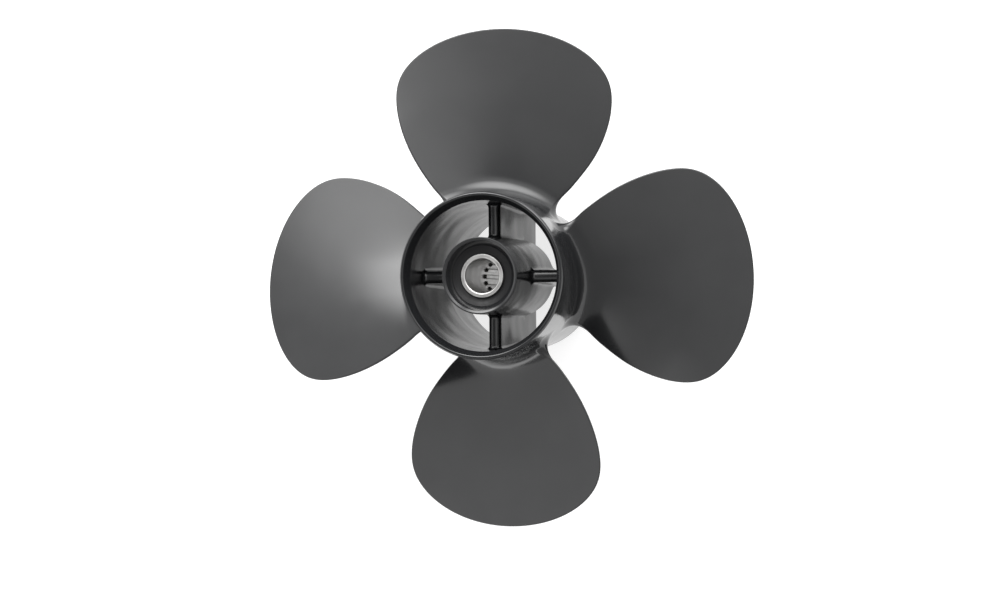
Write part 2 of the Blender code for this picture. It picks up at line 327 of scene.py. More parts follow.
def make_paint():
    """Dark grey paint: its roughness is an uneven gloss plus the dullness inside, its bumps lie in layers."""
    material, nodes, links, shader, place = new_material("casting_paint")
    colour = nodes.new("ShaderNodeMix")
    colour.data_type = "RGBA"
    colour.inputs["A"].default_value = PAINT_COLOUR
    colour.inputs["B"].default_value = PAINT_COLOUR_PALE
    clouds = noise(nodes, links, place, PAINT_CLOUDS, detail=3.0)
    links.new(ranged(nodes, links, clouds, NOISE_MIDDLE, 0.0, 1.0), colour.inputs["Factor"])
    links.new(colour.outputs["Result"], shader.inputs["Base Color"])
    inside = inside_barrel(nodes, links, place)
    gloss = noise(nodes, links, place, GLOSS_CLOUDS, detail=4.0)
    gloss = ranged(nodes, links, gloss, NOISE_MIDDLE, *PAINT_ROUGHNESS)
    roughness = calculated(nodes, links, "MULTIPLY_ADD", inside, INSIDE_DULLNESS, gloss)
    links.new(roughness, shader.inputs["Roughness"])
    waves = bump(nodes, links, noise(nodes, links, place, WAVES, detail=1.0), WAVE_DEPTH)
    dimples = bump(nodes, links, noise(nodes, links, place, DIMPLES, detail=1.0), DIMPLE_DEPTH, waves)
    cast = bump(nodes, links, noise(nodes, links, place, CAST_WAVES, detail=1.0), CAST_DEPTH, dimples, inside)
    links.new(cast, shader.inputs["Normal"])
    return material


paint = make_paint()
print("the paint has", len(paint.node_tree.nodes), "nodes")

# %% [markdown]
# ## Turned pieces
#
# The barrel, the hub, the rubber and the sleeve are all round. A lathe would make them from one outline
# of radius and height, and so does Blender's Screw modifier. Here the outline is turned by hand, because
# the sleeve's splines need the angle of each point. Sharp corners never look right, so each corner of the
# outline is first cut by a small arc, and then the whole outline is carried once round the shaft.

# %% Rounded outlines and turning
ARC_STEPS = 7
LONGEST = 5 * MM
BESIDE_ARC = 0.35 * MM
SIDES = 192


def rounded_outline(corners):
    """A closed outline of (radius, height, rounding) corners, each replaced by an arc of its rounding.

    The arc touches both sides at rounding / tan(half the corner's angle) from the corner.
    """
    corners = np.array(corners, float)
    places = corners[:, :2]
    pieces = []
    for here, before, after, rounding in zip(
        places, np.roll(places, 1, 0), np.roll(places, -1, 0), corners[:, 2]
    ):
        back = (before - here) / np.linalg.norm(before - here)
        ahead = (after - here) / np.linalg.norm(after - here)
        half = math.acos(np.clip(back @ ahead, -1, 1)) / 2
        middle = (back + ahead) / np.linalg.norm(back + ahead)
        centre = here + middle * rounding / math.sin(half)
        start = here + back * rounding / math.tan(half) - centre
        turn = (math.pi - 2 * half) * np.linspace(0, 1, ARC_STEPS + 1)
        turn *= np.sign(back[1] * ahead[0] - back[0] * ahead[1])
        spin = np.stack([np.cos(turn), -np.sin(turn), np.sin(turn), np.cos(turn)], -1).reshape(-1, 2, 2)
        pieces.append(centre + spin @ start)
    return np.concatenate(pieces)


def dense(outline):
    """Extra points on long stretches: one close to each end, so the shading stays flat between arcs."""
    result = []
    for start, end in zip(outline, np.roll(outline, -1, 0)):
        length = np.linalg.norm(end - start)
        result.append(start[None, :])
        if length > 3 * BESIDE_ARC:
            count = max(2, math.ceil(length / LONGEST) + 1)
            share = np.linspace(BESIDE_ARC / length, 1 - BESIDE_ARC / length, count)
            result.append(start + share[:, None] * (end - start))
    return np.concatenate(result)


def turned(name, corners, material):
    """An outline carried round Z: x = radius cos(angle), y = radius sin(angle), z = height."""
    outline = dense(rounded_outline(corners))
    angle = np.linspace(0, math.tau, SIDES, endpoint=False)[:, None]
    radius = outline[None, :, 0]
    height = np.broadcast_to(outline[None, :, 1], (SIDES, len(outline)))
    grid = np.stack([radius * np.cos(angle), radius * np.sin(angle), height], axis=-1)
    return skin(name, grid, material, close_rows=True, close_columns=True)


square = [(1, 0, 0.1), (2, 0, 0.1), (2, 1, 0.1), (1, 1, 0.1)]
print("a square with rounded corners has", len(rounded_outline(square)), "points")

# %% [markdown]
# ## The barrel
#
# The barrel carries the blades, and exhaust leaves through it. Two mould cores meet inside it, one drawn
# out of each end, so its bore is narrowest at a waist and widens a little towards both ends. The last
# stretch before the aft rim is nearly straight. The rim is thinned by a cone on the inside, which shows as
# a dark ring inside the bright edge.
#
# A cylinder with a hole cut by a Boolean would give the same solid, but with hard edges. In an outline
# each corner's radius, height and rounding are one line.

# %% Turn the barrel
BORE_WAIST_RADIUS = 0.0474
BORE_FRONT_RADIUS = 0.0486
BORE_WAIST = 0.0480
BORE_BEND_RADIUS = 0.0492
BORE_BEND = 0.0980
BORE_BEND_ROUNDING = 1.0
LIP_RADIUS = 0.0530
LIP_DEPTH = 0.0070
LIP_FACET = 0.45 * MM
CREST_RADIUS = 0.0538
CREST_EDGE_RADIUS = 0.0543
CREST_EDGE_DEPTH = 0.00035
RIM_CHAMFER_DEPTH = 0.0018
# Each corner: radius, height, rounding.
barrel_corners = [
    (LIP_RADIUS - LIP_FACET, BARREL_END - 0.5 * LIP_FACET, 0.2 * MM),
    (LIP_RADIUS, BARREL_END, 0.1 * MM),
    (CREST_RADIUS, BARREL_END, 0.1 * MM),
    (CREST_EDGE_RADIUS, BARREL_END - CREST_EDGE_DEPTH, 0.15 * MM),
    (BARREL_RADIUS, BARREL_END - RIM_CHAMFER_DEPTH, 0.8 * MM),
    (BARREL_FRONT_RADIUS, 0.0, 0.5 * MM),
    (BORE_FRONT_RADIUS, 0.0, 0.5 * MM),
    (BORE_WAIST_RADIUS, BORE_WAIST, 6.0 * MM),
    (BORE_BEND_RADIUS, BORE_BEND, BORE_BEND_ROUNDING),
    (BORE_AFT_RADIUS, BARREL_END - LIP_DEPTH, 0.6 * MM),
]
barrel = turned("barrel_skin", barrel_corners, paint)
finish_piece(barrel, "casting_paint", "outer_barrel")


def bore_radius(height):
    """The barrel's bore: cones that meet at the waist and at the bend."""
    heights = (0.0, BORE_WAIST, BORE_BEND, BARREL_END - LIP_DEPTH)
    radii = (BORE_FRONT_RADIUS, BORE_WAIST_RADIUS, BORE_BEND_RADIUS, BORE_AFT_RADIUS)
    return np.interp(height, heights, radii)


def outer_radius(height):
    """The barrel's outside: one cone, a little narrower at the front."""
    share = height / (BARREL_END - RIM_CHAMFER_DEPTH)
    return BARREL_FRONT_RADIUS + share * (BARREL_RADIUS - BARREL_FRONT_RADIUS)


print("wall at the waist in mm:", round(1000 * float(outer_radius(BORE_WAIST) - bore_radius(BORE_WAIST)), 1))

# %% [markdown]
# ## The inner hub
#
# The inner hub is a thick tube, cast with the barrel. It stands a little proud of the rim, and its aft
# edge is a narrow rounded lip that catches the light as a bright line. Inside the lip the mouth runs
# down to the bore that holds the rubber. It is turned like the barrel, because that line depends on the
# exact roundings of three corners, each less than two millimetres from the next.

# %% Turn the inner hub
HUB_MOUTH_RADIUS = 0.0230
HUB_MOUTH_DEPTH = 0.0060
HUB_CREST_RADIUS = 0.0243
HUB_CREST_DEPTH = 0.00085
hub_corners = [
    (HUB_RADIUS_AFT, HUB_END, 0.45 * MM),
    (HUB_RADIUS_FRONT, HUB_FRONT, 1.2 * MM),
    (HUB_BORE, HUB_FRONT, 0.8 * MM),
    (HUB_BORE, HUB_END - HUB_MOUTH_DEPTH, 1.0 * MM),
    (HUB_MOUTH_RADIUS, HUB_END - HUB_CREST_DEPTH, 0.4 * MM),
    (HUB_CREST_RADIUS, HUB_END, 0.5 * MM),
]
hub = turned("hub_skin", hub_corners, paint)
finish_piece(hub, "casting_paint", "inner_hub")


def hub_radius(height):
    """The hub's outer side: a cone that narrows evenly from its front end to its aft end."""
    share = (height - HUB_FRONT) / (HUB_END - HUB_FRONT)
    return HUB_RADIUS_FRONT + share * (HUB_RADIUS_AFT - HUB_RADIUS_FRONT)


print("hub radius halfway in mm:", round(1000 * hub_radius((HUB_FRONT + HUB_END) / 2), 2))

# %% [markdown]
# ## The webs
#
# Four webs tie the hub to the barrel. A web is a slab that grows thicker towards the front, with a round
# aft edge. Its section, seen along the radius, is carried outwards from the hub's cone to the barrel's
# bore. Near both ends it swells by a quarter circle, which is the fillet that every casting has, and it
# runs a little way into the tubes so that no seam is left.
#
# A box with a Bevel modifier would be round at its edges, but a bevel can't fillet one object into
# another. So the section comes first: half of it as points with their outward directions, along which the
# fillet will swell it.

# %% Section of a web
WEB_END = web_high.z
WEB_FRONT = web_low.z
WEB_FREE_RADIUS = web_low.x
WEB_HALF_AFT = 4.05 * MM
WEB_HALF_FRONT = web_high.y
WEB_CORNER = 3.6 * MM
WEB_FOOT = 1.0 * MM
WEB_CORNER_STEPS = 8
HUB_SEAM = 0.2 * MM
RISE_AHEAD_OF_HUB = 14
RISE_BESIDE_HUB = 26


def web_half(height):
    """Half the web's thickness, which grows evenly towards the front."""
    share = (height - WEB_FRONT) / (WEB_END - WEB_FRONT)
    return WEB_HALF_FRONT + share * (WEB_HALF_AFT - WEB_HALF_FRONT)


def web_section():
    """The section's right half from the middle of its foot to the middle of its aft edge.

    Columns are the distance across, the height, and the outward direction in those two. The left half
    mirrors it.
    """
    quarter = np.linspace(0, math.pi / 2, WEB_CORNER_STEPS + 1)
    foot = np.column_stack([np.sin(quarter), -np.cos(quarter)])
    aft = np.column_stack([np.cos(quarter), np.sin(quarter)])
    low = WEB_FRONT + WEB_FOOT
    high = WEB_END - WEB_CORNER
    rise = np.concatenate([
        np.linspace(low, HUB_FRONT - HUB_SEAM, RISE_AHEAD_OF_HUB)[1:],
        np.linspace(HUB_FRONT + HUB_SEAM, high, RISE_BESIDE_HUB)[:-1],
    ])
    foot_points = (web_half(low) - WEB_FOOT, low) + WEB_FOOT * foot
    side_points = np.column_stack([web_half(rise), rise])
    aft_points = (web_half(high) - WEB_CORNER, high) + WEB_CORNER * aft
    side_out = np.column_stack([np.ones_like(rise), np.zeros_like(rise)])
    points = np.concatenate([[(0, WEB_FRONT)], foot_points, side_points, aft_points, [(0, WEB_END)]])
    out = np.concatenate([[(0, -1)], foot, side_out, aft, [(0, 1)]])
    return np.column_stack([points, out])


print("points on half a web's section:", len(web_section()))

# %% [markdown]
# ## Fillets
#
# A fillet is the round in the corner between two surfaces of a casting. Molten metal flows badly into a
# sharp corner, and a sharp corner is where a part cracks. Here it is a quarter circle. It could be a piece
# of its own, but then its two borders would show, so it is part of the web's or the blade's own grid.
#
# As rows of a grid, it is a list of distances from the wall and of how far the section has swollen there.
# The first two rows lie inside the wall.

# %% Rows of a fillet
BURIED = 0.9 * MM
BURIED_LITTLE = 0.2 * BURIED


def wall_rows(fillet, skirt, steps):
    """(distance from the wall, swell) along a quarter circle that begins just inside the wall.

    At the turn a the quarter circle has distance fillet * (1 - cos a) and swell fillet * (1 - sin a).
    """
    turn = np.linspace(0, math.pi / 2, steps + 1)
    arc = np.column_stack([fillet * (1 - np.cos(turn)), fillet * (1 - np.sin(turn))])
    buried = [(-BURIED, fillet + skirt), (-BURIED_LITTLE, fillet + skirt)]
    return np.concatenate([buried, arc])


print("rows of a fillet in four steps:", len(wall_rows(1 * MM, 0.0, 4)))

# %% [markdown]
# ## The webs' free inner edge
#
# The hub is shorter than the barrel. Ahead of it the web's inner edge stands free: a flat edge with
# rounded corners. The webs could be cut into a part beside the hub and a part ahead of it, but a joint
# would show between them. So it is one grid, and where there is no hub its first rows close the section
# instead of swelling it.

# %% Carry the section outwards
WEB_FILLET = 2.6 * MM
WEB_FILLET_STEPS = 8
WEB_SKIRT = 0.8 * MM
WEB_EDGE_ROUND = 1.4 * MM
WEB_SPAN = BORE_AFT_RADIUS - HUB_RADIUS_AFT
WEB_STEP = 2.5 * MM


def web_grid(turn):
    """Rows run outwards and columns round the section, wound on cylinders: angle = across / radius."""
    right = web_section()
    left = right[::-1] * (-1, 1, -1, 1)
    section = np.concatenate([right, left[1:-1]])
    across, height, out_across, out_height = section.T
    at_hub = height > HUB_FRONT
    inner = hub_radius(height)
    outer = bore_radius(height)
    ends = wall_rows(WEB_FILLET, WEB_SKIRT, WEB_FILLET_STEPS)
    half = web_half(height)
    steps = np.linspace(0, math.pi / 2, len(ends) - 1)
    edge_inset = np.concatenate([[0.0], WEB_EDGE_ROUND * (1 - np.cos(steps))])
    edge_left = np.concatenate([[1.0], 1 - np.sin(steps)])
    radius, swell, narrow = [], [], []
    for row, (distance, grown) in enumerate(ends):
        closing = 0.0 if row == 0 else 1 - edge_left[row] * WEB_EDGE_ROUND / half
        radius.append(np.where(at_hub, inner + distance, WEB_FREE_RADIUS + edge_inset[row]))
        swell.append(np.where(at_hub, grown, 0.0))
        narrow.append(np.where(at_hub, 1.0, closing))
    start = radius[-1]
    for share in np.arange(1, math.ceil(WEB_SPAN / WEB_STEP)) * WEB_STEP / WEB_SPAN:
        radius.append(start + share * (outer - WEB_FILLET - start))
        swell.append(np.zeros_like(height))
        narrow.append(np.ones_like(height))
    for distance, grown in ends[::-1]:
        radius.append(outer - distance)
        swell.append(np.full_like(height, grown))
        narrow.append(np.ones_like(height))
    radius, swell, narrow = np.array(radius), np.array(swell), np.array(narrow)
    angle = turn + (across * narrow + swell * out_across) / radius
    lifted = height + swell * np.maximum(out_height, 0.0)
    return np.stack([radius * np.cos(angle), radius * np.sin(angle), lifted], axis=-1)


for number in range(4):
    web = skin(f"web_{number + 1}_skin", web_grid(number * math.tau / 4), paint, close_columns=True)
    finish_piece(web, "casting_paint", f"rib_{number + 1}")

# %% [markdown]
# ## The blades
#
# A propeller blade is a screw surface: one turn moves it ahead by its pitch. On a cylinder round the
# shaft that surface is a straight slanted line, so the blade can be described on unrolled cylinders,
# by how wide it is on each side of its middle at each radius. Propeller drawings do the same, and that is
# why the blade isn't cut out of a thick sheet or sculpted: the drawing's numbers can be used as they are.
#
# The widths grow from the root to most of the way out, and then a steep power of the radius rounds the
# blade off at its tip. Eight stations are enough.

# %% The blade's outline
PITCH = 0.2356
ADVANCE = PITCH / math.tau
ROOT_HEIGHT = 0.0773
TIP_HEIGHT = 0.0747
TIP_ROUNDNESS = 20
STATIONS = (0.32, 0.40, 0.50, 0.60, 0.70, 0.80, 0.90, 1.00)
TRAILING_WIDTHS = (0.0294, 0.0413, 0.0528, 0.0622, 0.0692, 0.0735, 0.0748, 0.0716)
LEADING_WIDTHS = (0.0288, 0.0416, 0.0543, 0.0650, 0.0726, 0.0770, 0.0775, 0.0716)


def smooth_through(places, values, wanted):
    """A smooth curve through points: each stretch is a cubic that keeps the neighbours' slopes."""
    places = np.array(places)
    values = np.array(values)
    slopes = np.gradient(values, places)
    left = np.clip(np.searchsorted(places, wanted) - 1, 0, len(places) - 2)
    span = places[left + 1] - places[left]
    t = (wanted - places[left]) / span
    start = (1 + 2 * t) * (1 - t) ** 2 * values[left] + t * (1 - t) ** 2 * span * slopes[left]
    end = t * t * (3 - 2 * t) * values[left + 1] + t * t * (t - 1) * span * slopes[left + 1]
    return start + end


def half_width(radius, widths):
    """Width along the arc on one side: the stations' curve times the root of 1 - share ^ roundness."""
    share = radius / TIP_RADIUS
    rounding = np.sqrt(np.clip(1 - share ** TIP_ROUNDNESS, 0, 1))
    return smooth_through(STATIONS, widths, share) * rounding


for share in (0.4, 0.6, 0.8):
    both = half_width(share * TIP_RADIUS, TRAILING_WIDTHS) + half_width(share * TIP_RADIUS, LEADING_WIDTHS)
    print(f"blade width at {share:.1f} of the tip radius: {1000 * both:.0f} mm")

# %% [markdown]
# ## Easing the pitch near the root
#
# Near the root the blade is a little flatter than a true screw: the leading edge is lifted by up to three
# millimetres and the trailing edge is lowered by less. Water there moves slowly, so the pitch is eased.
# It could be a second pitch for the inner rows, but that would turn the whole root. A lift that begins a
# few degrees from the blade's middle line leaves the broad middle of the blade as it is.

# %% Ease the root
CAMBER_LEADING = 3.0 * MM
CAMBER_TRAILING = 1.8 * MM
CAMBER_TURN = np.radians((8, 36))
CAMBER_MOST = 1.3
CAMBER_POWER = 1.5
CAMBER_FADE = (0.076, 0.130)


def smooth_step(value, start, end):
    """Zero up to the start, one from the end on, and 3 t^2 - 2 t^3 of the share t between them."""
    t = np.clip((value - start) / (end - start), 0, 1)
    return t * t * (3 - 2 * t)


def camber(arc, radius):
    """Lift ahead and drop behind, by a power of the turn, faded out smoothly along the radius."""
    turn = arc / radius
    beyond = np.clip((np.abs(turn) - CAMBER_TURN[0]) / (CAMBER_TURN[1] - CAMBER_TURN[0]), 0, CAMBER_MOST)
    most = np.where(turn < 0, CAMBER_LEADING, -CAMBER_TRAILING)
    return most * beyond ** CAMBER_POWER * (1 - smooth_step(radius, *CAMBER_FADE))


print("lift at the leading root in mm:", round(1000 * float(camber(-0.032, 0.058)), 1))

# %% [markdown]
# ## Rows of the blade's grid
#
# Each row of the grid goes once round the blade: across the aft face, round the trailing edge, back
# across the forward face and round the leading edge. The edges are true half circles, whose radius
# points away from the outline, so the rim stays round even at the tip where rows shrink to a point.
#
# First come the radius of each row and the two sides of the outline. A plain loft with even rows would be
# simpler, but it would turn the rounded tip into a few long facets.

# %% Rows and outline sides
EDGE_RADIUS = 0.85 * MM
ROOT_THICKNESS = 10.5 * MM
TIP_THICKNESS = 2.6 * MM
ROOT_FILLET = 16.0 * MM
ROOT_FILLET_STEPS = 14
ROOT_SKIRT = 2.0 * MM
ROOT_RADIUS = float(outer_radius(ROOT_HEIGHT))
BODY_ROWS = 84


def blade_rows():
    """Radius and swell of each row, from inside the barrel's wall to the tip.

    Past the fillet the rows draw together with the square of what is left, which spaces them evenly
    along the rounded tip.
    """
    root = wall_rows(ROOT_FILLET, ROOT_SKIRT, ROOT_FILLET_STEPS)
    left = np.linspace(1, 0, BODY_ROWS)[1:]
    body = TIP_RADIUS - (TIP_RADIUS - ROOT_RADIUS - ROOT_FILLET) * left ** 2
    radius = np.concatenate([ROOT_RADIUS + root[:, 0], body])
    swell = np.concatenate([root[:, 1], np.zeros(len(body))])
    return radius, swell


def outline_sides(radius):
    """Inset edge points and their outward directions (along the arc, along the radius), per side.

    The outline is walked from one root over the tip to the other, so its slope is defined at the tip.
    """
    arc = np.concatenate([-half_width(radius, LEADING_WIDTHS), half_width(radius, TRAILING_WIDTHS)[::-1][1:]])
    out = np.concatenate([radius, radius[::-1][1:]])
    along = np.gradient(arc)
    climb = np.gradient(out)
    length = np.hypot(along, climb)
    away = np.column_stack([-climb / length, along / length])
    inset = np.column_stack([arc, out]) - EDGE_RADIUS * away
    count = len(radius)
    return inset[:count], away[:count], inset[count - 1:][::-1], away[count - 1:][::-1]


print("rows:", len(blade_rows()[0]), "and radius at the wall in mm:", round(1000 * ROOT_RADIUS, 2))

# %% [markdown]
# ## From unrolled cylinders back into space
#
# At the root the whole row swells by a quarter circle and runs into the barrel's wall. That swelling is
# the fillet. A voxel remesh could also melt the blade into the barrel, but it would blur the thin edges.
# Here the fillet's foot is laid exactly on the barrel's cone, so no seam shows in the gloss.

# %% Roll points round the shaft
def on_cylinder(arc, radius, off, swell_along, swell_out):
    """Points on unrolled cylinders, rolled back into space.

    The unrolled section is a line that climbs by the advance. A point is moved off that line, and by
    its swell along it and away from it, before the arc is wound round the shaft.
    """
    slope = ADVANCE / radius
    stretch = np.sqrt(1 + slope ** 2)
    away = off + swell_out
    x = arc + (swell_along - slope * away) / stretch
    z = slope * arc + (slope * swell_along + away) / stretch
    share = (radius - ROOT_RADIUS) / (TIP_RADIUS - ROOT_RADIUS)
    angle = x / radius
    height = ROOT_HEIGHT + share * (TIP_HEIGHT - ROOT_HEIGHT) + z + camber(arc, radius)
    near_root = np.clip(1 - (radius - ROOT_RADIUS) / ROOT_FILLET, 0, 1)
    seated = radius + near_root * (outer_radius(height) - ROOT_RADIUS)
    return np.stack([seated * np.cos(angle), seated * np.sin(angle), height], axis=-1)


def settled(out, radius):
    """At the foot every point takes its row's own radius, and over the fillet it is smoothly set free."""
    free = smooth_step(radius, ROOT_RADIUS, ROOT_RADIUS + ROOT_FILLET)[:, None]
    return radius[:, None] + free * (out - radius[:, None])


middle_point = on_cylinder(np.array([0.0]), np.array([TIP_RADIUS]), 0.0, 0.0, 0.0)[0]
print("the tip's middle in mm:", [round(1000 * float(value), 1) for value in middle_point])

# %% [markdown]
# ## One blade
#
# The section is thickest in its middle and thins towards both edges. A sheet with a Solidify modifier would
# be equally thick everywhere, and its edges square. Here the two faces and the two edges lie side by side
# in each row, and the row closes on itself.
#
# Inside the barrel's wall the first row is folded onto its own middle line, which closes the root along
# the barrel and not across its bore.

# %% Surface of one blade
FACE_POINTS = 73
EDGE_STEPS = 24
BULGE_POWER = 1.5


def edge_grid(point, away, radius, swell, sign):
    """A half circle round the edge, from the face to the back; sign is +1 on the trailing side.

    At the angle a it lies EDGE_RADIUS cos a beyond the inset point and EDGE_RADIUS (sin a - 1) off the face.
    """
    angle = np.linspace(math.pi / 2, -math.pi / 2, EDGE_STEPS + 1)[1:-1]
    flat = EDGE_RADIUS * np.cos(angle)[None, :]
    off = EDGE_RADIUS * (np.sin(angle)[None, :] - 1) + np.zeros((len(point), 1))
    arc = point[:, :1] + flat * away[:, :1]
    out = settled(point[:, 1:] + flat * away[:, 1:], radius)
    swell_along = sign * swell[:, None] * np.cos(angle)[None, :]
    swell_out = swell[:, None] * np.sin(angle)[None, :]
    return on_cylinder(arc, out, off, swell_along, swell_out)


def blade_grid():
    """Face, trailing edge, back and leading edge of every row, side by side as one closed grid.

    The thickness is the edge's plus a bulge of (1 - across ^ 2) ^ power, with across from -1 to 1.
    """
    radius, swell = blade_rows()
    lead, lead_away, trail, trail_away = outline_sides(radius)
    across = np.sin(np.linspace(-1, 1, FACE_POINTS) * math.pi / 2)
    share = (across + 1) / 2
    middle = lead[:, None, :] + share[None, :, None] * (trail - lead)[:, None, :]
    middle[..., 1] = settled(middle[..., 1], radius)
    most = ROOT_THICKNESS + (TIP_THICKNESS - ROOT_THICKNESS) * (radius - radius[0]) / (TIP_RADIUS - radius[0])
    bulge = (most[:, None] - 2 * EDGE_RADIUS) * (1 - across[None, :] ** 2) ** BULGE_POWER
    thickness = 2 * EDGE_RADIUS + bulge
    row_swell = swell[:, None] + np.zeros((1, FACE_POINTS))
    none = np.zeros_like(row_swell)
    face = on_cylinder(middle[..., 0], middle[..., 1], none, none, row_swell)
    back = on_cylinder(middle[..., 0], middle[..., 1], -thickness, none, -row_swell)[:, ::-1]
    trailing = edge_grid(trail, trail_away, radius, swell, 1)
    leading = edge_grid(lead, lead_away, radius, swell, -1)[:, ::-1]
    rows = np.concatenate([face, trailing, back, leading], axis=1)
    line = on_cylinder(middle[:1, :, 0], middle[:1, :, 1], -EDGE_RADIUS, 0.0, 0.0)
    ends = [np.repeat(end, EDGE_STEPS - 1, axis=1) for end in (line[:, -1:], line[:, :1])]
    root_line = np.concatenate([line, ends[0], line[:, ::-1], ends[1]], axis=1)
    return np.concatenate([root_line, rows])


one_blade = blade_grid()
print("rows and points round a row:", one_blade.shape[:2])

# %% [markdown]
# ## Four of them
#
# The four blades are alike and a quarter turn apart. Turned copies of one object would be lighter, but all
# four would carry the same clouds in their paint, because the paint follows the object. So the points
# themselves are turned about the shaft.

# %% Make the four blades
def turned_about_shaft(points, angle):
    """Points turned about Z: the new x and y mix the old ones by the angle's cosine and sine."""
    x, y, z = np.moveaxis(points, -1, 0)
    turned_x = x * math.cos(angle) - y * math.sin(angle)
    turned_y = x * math.sin(angle) + y * math.cos(angle)
    return np.stack([turned_x, turned_y, z], axis=-1)


for number in range(4):
    points = turned_about_shaft(one_blade, number * math.tau / 4)
    blade = skin(f"blade_{number + 1}_skin", points, paint, close_columns=True)
    finish_piece(blade, "casting_paint", f"blade_{number + 1}")

# %% [markdown]
# ## The rubber
#
# A ring of black rubber is pressed into the hub, and takes the shock when a blade strikes something. Its
# aft end is dished, as moulded rubber is after it has shrunk. It is turned like the hub, with one corner
# of a large rounding for the bottom of the dish. Rubber isn't a perfect black: a low shine with a fine
# grain sets it off from the gloss of the paint.

# %% Rubber
RUBBER_COLOUR = (0.009, 0.009, 0.0095, 1.0)
RUBBER_SHINE = 0.15
RUBBER_ROUGHNESS = (0.36, 0.50)
RUBBER_CLOUDS = 300.0
RUBBER_GRAIN = 900.0
RUBBER_GRAIN_DEPTH = 0.03 * MM
SLEEVE_RADIUS = sleeve_high.x
DISH_DEPTH = 2.8 * MM
DISH_DEPTH_MIDDLE = 0.7 * DISH_DEPTH
DISH_MIDDLE = 0.5 * (HUB_BORE + SLEEVE_RADIUS)
DISH_ROUNDING = 8.0 * MM


def make_rubber():
    """Matt black with a faint grain."""
    material, nodes, links, shader, place = new_material("bushing_rubber")
    shader.inputs["Base Color"].default_value = RUBBER_COLOUR
    shader.inputs["Specular IOR Level"].default_value = RUBBER_SHINE
    clouds = noise(nodes, links, place, RUBBER_CLOUDS, detail=3.0)
    links.new(ranged(nodes, links, clouds, NOISE_MIDDLE, *RUBBER_ROUGHNESS), shader.inputs["Roughness"])
    grain = noise(nodes, links, place, RUBBER_GRAIN, detail=4.0, roughness=0.7)
    links.new(bump(nodes, links, grain, RUBBER_GRAIN_DEPTH), shader.inputs["Normal"])
    return material


bushing_corners = [
    (HUB_BORE, bushing_high.z, 0.1 * MM),
    (HUB_BORE, bushing_low.z, 0.6 * MM),
    (SLEEVE_RADIUS, bushing_low.z, 0.6 * MM),
    (SLEEVE_RADIUS, bushing_high.z - DISH_DEPTH, 0.1 * MM),
    (DISH_MIDDLE, bushing_high.z - DISH_DEPTH_MIDDLE, DISH_ROUNDING),
]
bushing = turned("bushing_skin", bushing_corners, make_rubber())
finish_piece(bushing, "bushing_rubber", "rubber_bushing")

# %% [markdown]
# ## Bare steel
#
# The sleeve in the rubber is the one piece of bare metal. A turning tool leaves fine rings on it. They
# could be a wave texture, but its rings would all be alike. Noise that is asked only for the distance from
# the shaft and the height is the same all the way round, and so gives rings of uneven depth.

# %% Steel
STEEL_COLOUR = (0.43, 0.426, 0.418, 1.0)
STEEL_ROUGHNESS = (0.26, 0.40)
STEEL_CLOUDS = 120.0
TOOL_RINGS = 2600.0
TOOL_RING_DEPTH = 0.010 * MM


def make_steel():
    """Bare turned metal: fine rings from the tool show in its bump, with a few dull clouds."""
    material, nodes, links, shader, place = new_material("sleeve_metal")
    shader.inputs["Base Color"].default_value = STEEL_COLOUR
    shader.inputs["Metallic"].default_value = 1.0
    clouds = noise(nodes, links, place, STEEL_CLOUDS, detail=4.0)
    links.new(ranged(nodes, links, clouds, NOISE_MIDDLE, *STEEL_ROUGHNESS), shader.inputs["Roughness"])
    radius, height = radius_and_height(nodes, links, place)
    rings = nodes.new("ShaderNodeCombineXYZ")
    links.new(radius, rings.inputs["X"])
    links.new(height, rings.inputs["Z"])
    marks = noise(nodes, links, rings.outputs["Vector"], TOOL_RINGS)
    links.new(bump(nodes, links, marks, TOOL_RING_DEPTH), shader.inputs["Normal"])
    return material


steel = make_steel()
print("the steel has", len(steel.node_tree.nodes), "nodes")

# %% [markdown]
# ## The sleeve
#
# The sleeve slides onto the shaft. From the aft end its bore is smooth. The splines, fifteen of them,
# begin halfway down, and the grooves between them end there as pockets.
#
# The sleeve isn't quite a turned piece, because of its splines. They could be cut one by one with
# Booleans. Instead its grid is made like a turned one, and then the inner radius is pulled in where a
# tooth stands. The pull is a clipped wave in the angle, and is there only below the splines' top.

# %% Sleeve with splines
SLEEVE_BORE = 0.0112
SLEEVE_SKIN = 1.2 * MM
SPLINE_COUNT = 15
SPLINE_TOP = 0.0836
SPLINE_HEIGHT = 1.5 * MM
SPLINE_END = 0.4 * MM
SHARP = 0.01 * MM
SPLINE_TURN = math.radians(21.5)
TOOTH_SHARE = 0.9
TOOTH_STEEPNESS = 2.2
POINTS_PER_SPLINE = 24


